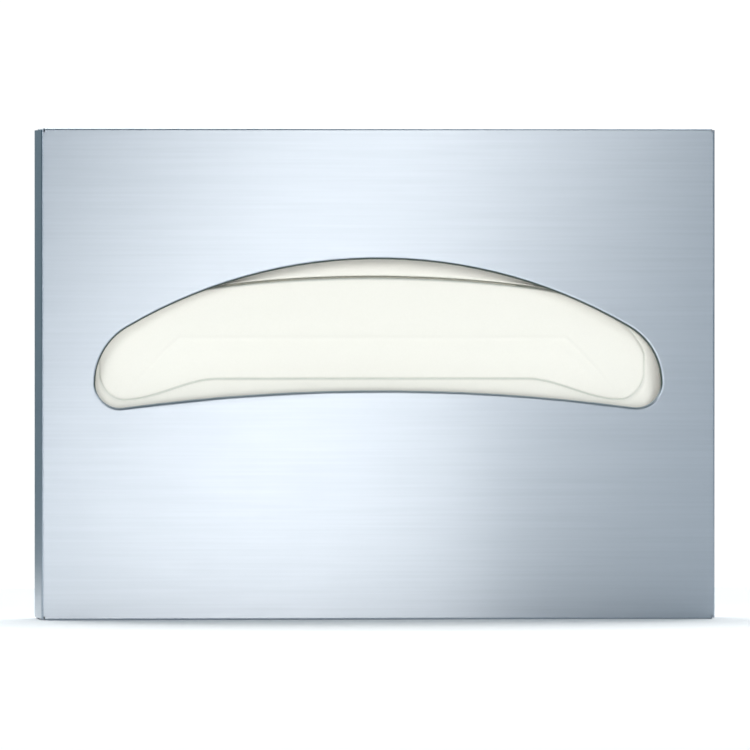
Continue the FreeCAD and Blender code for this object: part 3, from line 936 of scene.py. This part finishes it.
@dataclass
class CoverStack:
    """The half-folded covers behind the next one, stood side by side on the ledge."""

    half_width: float = 181.0
    bottom: float = -143.55
    height: float = 214.9
    corner_radius: float = 28.0
    front: float = -43.2
    thickness: float = 13.9
    covers: int = 44
    looseness: float = 0.35
    seed: int = 7
    # How much of its pitch a cover fills, and how far its fold reaches below its leaves
    fullness: float = 0.86
    fold_drop: float = 0.2
    corner_points: int = 7

    def build(self, finish: bpy.types.Material) -> bpy.types.Object:
        """Builds the stack from one folded cover, repeated by Geometry Nodes.

        Args:
            finish: The paper.

        Returns:
            The finished piece, as a plain mesh.
        """
        piece = link_mesh("cover_stack_leaves", self._one_cover(), finish)
        modifier = piece.modifiers.new("stack", "NODES")
        modifier.node_group, names = self._tree(finish)
        values = {
            "Covers": self.covers,
            "Pitch": self.thickness / self.covers * MM,
            "Looseness": self.looseness * MM,
            "Seed": self.seed,
        }
        for label, value in values.items():
            modifier[names[label]] = value
        bake_modifiers(piece)
        report(piece)
        return piece

    def _one_cover(self) -> bpy.types.Mesh:
        """Builds the first cover of the stack, a thin closed form with a pointed fold.

        Returns:
            The mesh of the rearmost cover.
        """
        pitch = self.thickness / self.covers
        rear, front = self.front + self.thickness, self.front + self.thickness - pitch * self.fullness
        inset = self.looseness
        half = self.half_width - inset
        top = self.bottom + self.height - inset
        left = [(-(half - self.corner_radius) - self.corner_radius * math.cos(t),
                 top - self.corner_radius + self.corner_radius * math.sin(t))
                for t in np.linspace(0, math.pi / 2, self.corner_points)]
        right = [(-x, z) for x, z in reversed(left)]
        foot = self.bottom + self.fold_drop
        ordered = [(-half, foot), *left, *right, (half, foot)]
        skin = bmesh.new()
        faces = []
        for depth in (front, rear):
            faces.append([skin.verts.new((x * MM, depth * MM, z * MM)) for x, z in ordered])
        nose = [skin.verts.new((x * MM, (front + rear) / 2 * MM, self.bottom * MM)) for x in (-half, half)]
        skin.faces.new(faces[0])
        skin.faces.new(list(reversed(faces[1])))
        for first, second in zip(range(len(ordered) - 1), range(1, len(ordered))):
            skin.faces.new([faces[0][second], faces[0][first], faces[1][first], faces[1][second]])
        skin.faces.new([faces[0][0], faces[0][-1], nose[1], nose[0]])
        skin.faces.new([faces[1][-1], faces[1][0], nose[0], nose[1]])
        skin.faces.new([faces[0][0], nose[0], faces[1][0]])
        skin.faces.new([faces[0][-1], faces[1][-1], nose[1]])
        bmesh.ops.recalc_face_normals(skin, faces=skin.faces)
        mesh = bpy.data.meshes.new("folded_cover")
        skin.to_mesh(mesh)
        skin.free()
        return mesh

    def _tree(self, finish: bpy.types.Material) -> tuple[bpy.types.NodeTree, dict[str, str]]:
        """Builds the tree that repeats the cover towards the front, each a little out of line.

        Args:
            finish: The paper.

        Returns:
            The tree, and each input's identifier by its name.
        """
        tree = bpy.data.node_groups.new("stack_of_covers", "GeometryNodeTree")
        face = tree.interface
        face.new_socket("Geometry", in_out="INPUT", socket_type="NodeSocketGeometry")
        names = {}
        for label, kind in (("Covers", "NodeSocketInt"), ("Pitch", "NodeSocketFloat"),
                            ("Looseness", "NodeSocketFloat"), ("Seed", "NodeSocketInt")):
            names[label] = face.new_socket(label, in_out="INPUT", socket_type=kind).identifier
        face.new_socket("Geometry", in_out="OUTPUT", socket_type="NodeSocketGeometry")
        given = add_node(tree, "NodeGroupInput").outputs
        step = add_node(tree, "ShaderNodeMath", {0: given["Pitch"], 1: -1.0}, operation="MULTIPLY")
        offset = add_node(tree, "ShaderNodeCombineXYZ", {"Y": step.outputs[0]})
        row = add_node(tree, "GeometryNodeMeshLine", {
            "Count": given["Covers"], "Offset": offset.outputs[0]})
        low = add_node(tree, "ShaderNodeVectorMath", {0: (-1.0, 0.0, 0.0), "Scale": given["Looseness"]},
                       operation="SCALE")
        high = add_node(tree, "ShaderNodeVectorMath", {0: (1.0, 0.0, 1.0), "Scale": given["Looseness"]},
                        operation="SCALE")
        stray = add_node(tree, "FunctionNodeRandomValue", {
            0: low.outputs[0], 1: high.outputs[0], "Seed": given["Seed"]}, data_type="FLOAT_VECTOR")
        loose = add_node(tree, "GeometryNodeSetPosition", {
            "Geometry": row.outputs[0], "Offset": stray.outputs[0]})
        copies = add_node(tree, "GeometryNodeInstanceOnPoints", {
            "Points": loose.outputs[0], "Instance": given["Geometry"]})
        real = add_node(tree, "GeometryNodeRealizeInstances", {"Geometry": copies.outputs[0]})
        dressed = add_node(tree, "GeometryNodeSetMaterial", {
            "Geometry": real.outputs[0], "Material": finish})
        add_node(tree, "NodeGroupOutput", {"Geometry": dressed.outputs[0]})
        return tree, names


# The studio


@dataclass(frozen=True)
class SoftBox:
    """A large diffused lamp that shines from one place towards another."""

    name: str
    place: tuple[float, float, float]
    aim: tuple[float, float, float]
    width: float
    height: float
    power: float
    colour: str
    roll: float = 0.0

    def hang(self) -> None:
        """Adds the lamp to the scene, unseen by the camera itself."""
        lamp = bpy.data.lights.new(self.name, "AREA")
        lamp.shape = "RECTANGLE"
        lamp.size, lamp.size_y = self.width, self.height
        lamp.energy = self.power
        lamp.color = linear(self.colour)[:3]
        holder = bpy.data.objects.new(self.name, lamp)
        bpy.context.scene.collection.objects.link(holder)
        holder.location = self.place
        way = Vector(self.aim) - Vector(self.place)
        holder.rotation_mode = "QUATERNION"
        holder.rotation_quaternion = way.to_track_quat("-Z", "Y") @ Quaternion((0, 0, 1), self.roll)
        holder.visible_camera = False


@dataclass
class Studio:
    """The camera, the lamps, the surrounding light and the table."""

    eye: tuple[float, float, float] = (-0.8471, -9.057, 0.07)
    aim: tuple[float, float, float] = (-0.00226, -0.057, -0.00054)
    lens: float = 733.57
    sensor_width: float = 36.0
    sight: float = 200.0
    table_level: float = -0.14525
    table_sides: tuple[float, float] = (-0.8, 0.7)
    table_ends: tuple[float, float] = (-2.9, 0.8)
    room_colour: str = "#405e6a"
    room_power: float = 1.0
    # The panel's height and its outer and inner edges are in degrees
    panel_power: float = 3.6
    panel_elevation: float = 48.0
    panel_edges: tuple[float, float] = (49.0, 14.0)
    backdrop_power: float = 1.05
    # Each lamp's name, place, aim, width, height, power in watts, colour and roll in radians
    lamps: tuple[SoftBox, ...] = (
        SoftBox("front_window", (0.08, -1.15, 0.14), (0.08, -0.057, 0.14), 0.22, 0.8, 1.65, "#fff7ee", -0.5),
        SoftBox("window_core", (0.08, -1.15, 0.17), (0.08, -0.057, 0.17), 0.13, 0.8, 1.55, "#fff7ee", -0.5),
        SoftBox("low_strip", (-0.07, -0.55, -0.12), (-0.07, -0.057, -0.12), 0.36, 0.05, 0.19, "#fff7ee"),
        SoftBox("fill_right", (1.4, -1.6, 0.9), (0.0, -0.057, 0.0), 0.7, 0.7, 9.5, "#fbfafa"),
        SoftBox("fill_left", (-1.4, -1.6, 0.7), (0.0, -0.057, 0.0), 0.8, 0.8, 13.0, "#fbfafa"),
    )

    def set_up(self) -> None:
        """Builds the studio round the dispenser."""
        self._camera()
        self._surround()
        self._table()
        for lamp in self.lamps:
            lamp.hang()
        settings = bpy.context.scene.view_settings
        settings.view_transform = "Standard"
        settings.look = "None"

    def _camera(self) -> None:
        """Stands the camera far off, a little to the left, with a long lens."""
        lens = bpy.data.cameras.new("camera")
        lens.sensor_width = self.sensor_width
        lens.lens = self.lens
        lens.clip_end = self.sight
        camera = bpy.data.objects.new("camera", lens)
        bpy.context.scene.collection.objects.link(camera)
        camera.location = self.eye
        camera.rotation_mode = "QUATERNION"
        camera.rotation_quaternion = (Vector(self.aim) - Vector(self.eye)).to_track_quat("-Z", "Y")
        bpy.context.scene.camera = camera

    def _surround(self) -> None:
        """Gives the world a pale backdrop, a dim cool room and a soft panel above and behind."""
        world = bpy.data.worlds.new("studio_room")
        world.use_nodes = True
        tree = world.node_tree
        tree.nodes.clear()
        height = math.radians(self.panel_elevation)
        way = add_node(tree, "ShaderNodeTexCoord").outputs["Generated"]
        near = add_node(tree, "ShaderNodeVectorMath", {
            0: way, 1: (0.0, math.cos(height), math.sin(height))}, operation="DOT_PRODUCT")
        outer, inner = (math.cos(math.radians(edge)) for edge in self.panel_edges)
        glow = add_node(tree, "ShaderNodeMapRange", {
            "Value": near.outputs["Value"], "From Min": outer, "From Max": inner,
            "To Min": 0.0, "To Max": self.panel_power}, interpolation_type="SMOOTHSTEP")
        room = add_node(tree, "ShaderNodeBackground", {
            "Color": linear(self.room_colour), "Strength": self.room_power})
        panel = add_node(tree, "ShaderNodeBackground", {
            "Color": linear("#ffffff"), "Strength": glow.outputs["Result"]})
        lit = add_node(tree, "ShaderNodeAddShader", {0: room.outputs[0], 1: panel.outputs[0]})
        backdrop = add_node(tree, "ShaderNodeBackground", {
            "Color": linear("#ffffff"), "Strength": self.backdrop_power})
        seen = add_node(tree, "ShaderNodeLightPath").outputs["Is Camera Ray"]
        mixed = add_node(tree, "ShaderNodeMixShader", {
            0: seen, 1: lit.outputs[0], 2: backdrop.outputs[0]})
        add_node(tree, "ShaderNodeOutputWorld", {"Surface": mixed.outputs[0]})
        bpy.context.scene.world = world

    def _table(self) -> None:
        """Lays the white table that the dispenser stands on."""
        mesh = bpy.data.meshes.new("table")
        (left, right), (near, far), level = self.table_sides, self.table_ends, self.table_level
        mesh.from_pydata(
            [(left, near, level), (right, near, level), (right, far, level), (left, far, level)],
            [], [(0, 1, 2, 3)])
        table = link_mesh("table", mesh, StudioPaper().make())


def main() -> None:
    """Builds the dispenser on its frame, then the studio."""
    logging.basicConfig(level=logging.INFO, format="%(name)s: %(message)s")
    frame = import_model()
    steel, mill = BrushedStainless().make(), MillStainless().make()
    stack_paper = TissuePaper("bleached_tissue_stack", colour="#f4f3ed", fibre_colour="#eceae2").make()
    cover_paper = TissuePaper("bleached_tissue_cover").make()
    nodes = frame["nodes"]
    sheets = FoldedSheets()
    pieces = (
        (sheets.dress(nodes["front_shell"], "brushed_shell", steel), "front_shell", "satin_sheet"),
        (sheets.dress(nodes["back_plate"], "wall_plate", mill), "back_plate", "mill_sheet"),
        (CoverStack().build(stack_paper), "cover_stack", "stack_paper"),
        (NextCover().build(cover_paper), "front_cover", "cover_paper"),
    )
    for piece, node, slot in pieces:
        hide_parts(node)
        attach(piece, BODY)
    Studio().set_up()


if __name__ == "__main__":
    main()
